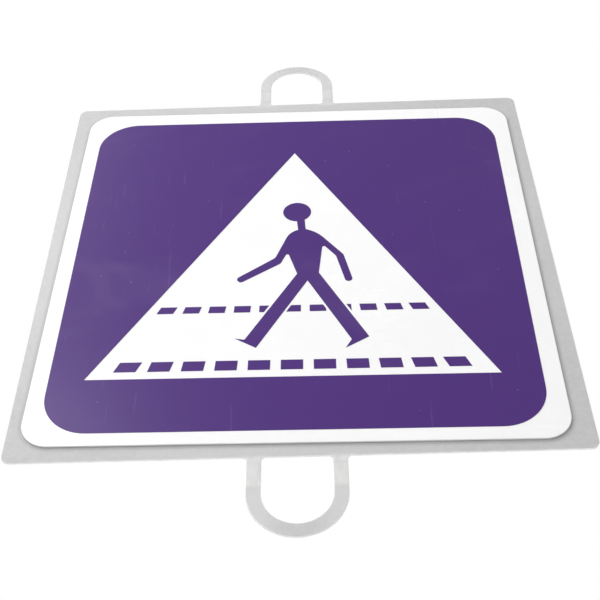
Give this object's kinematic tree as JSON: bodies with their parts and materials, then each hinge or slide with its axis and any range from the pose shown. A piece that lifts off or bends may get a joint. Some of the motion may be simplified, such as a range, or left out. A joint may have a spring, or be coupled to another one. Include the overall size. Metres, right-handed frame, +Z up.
{
  "type": "road sign panel",
  "caption": "Square pedestrian-crossing sign panel of translucent plastic with a bonded violet and white face and a fold-out pole loop at its top and bottom edges.",
  "frame": {"origin": "centre of the backing plate's back face, where the plate bears on its pole", "axes": "+Z up the sign, +X to the reader's right, and the face looks along -Y, so +Y points out of the back"},
  "size_m": [0.3, 0.0021, 0.3926],
  "materials": {
    "natural_sheet": "milky translucent plastic sheet, satin on both faces",
    "bond_film": "cloudy pressure-sensitive adhesive",
    "white_face": "smooth white plastic, gloss",
    "violet_film": "cut violet vinyl film, gloss"
  },
  "bodies": {
    "panel": {"backing_plate": "natural_sheet", "face_adhesive": "bond_film", "face_sheet": "white_face", "violet_field": "violet_film", "walking_figure": "violet_film", "far_crossing_line": "violet_film", "near_crossing_line": "violet_film", "upper_fold_webs": "natural_sheet", "lower_fold_webs": "natural_sheet"},
    "upper_loop": {"upper_pole_loop": "natural_sheet"},
    "lower_loop": {"lower_pole_loop": "natural_sheet"}
  },
  "joints": [
    {"name": "upper_loop_fold", "type": "hinge", "parent": "panel", "child": "upper_loop", "pos_m": [0.0003, -0.0008, 0.154], "axis": [-1, 0, 0], "range_deg": [-90, 90], "stiffness_Nm_per_rad": 0.03, "deforming": ["upper_fold_webs"]},
    {"name": "lower_loop_fold", "type": "hinge", "parent": "panel", "child": "lower_loop", "pos_m": [-0.0008, -0.0008, -0.154], "axis": [1, 0, 0], "range_deg": [-90, 90], "stiffness_Nm_per_rad": 0.03, "deforming": ["lower_fold_webs"]}
  ]
}
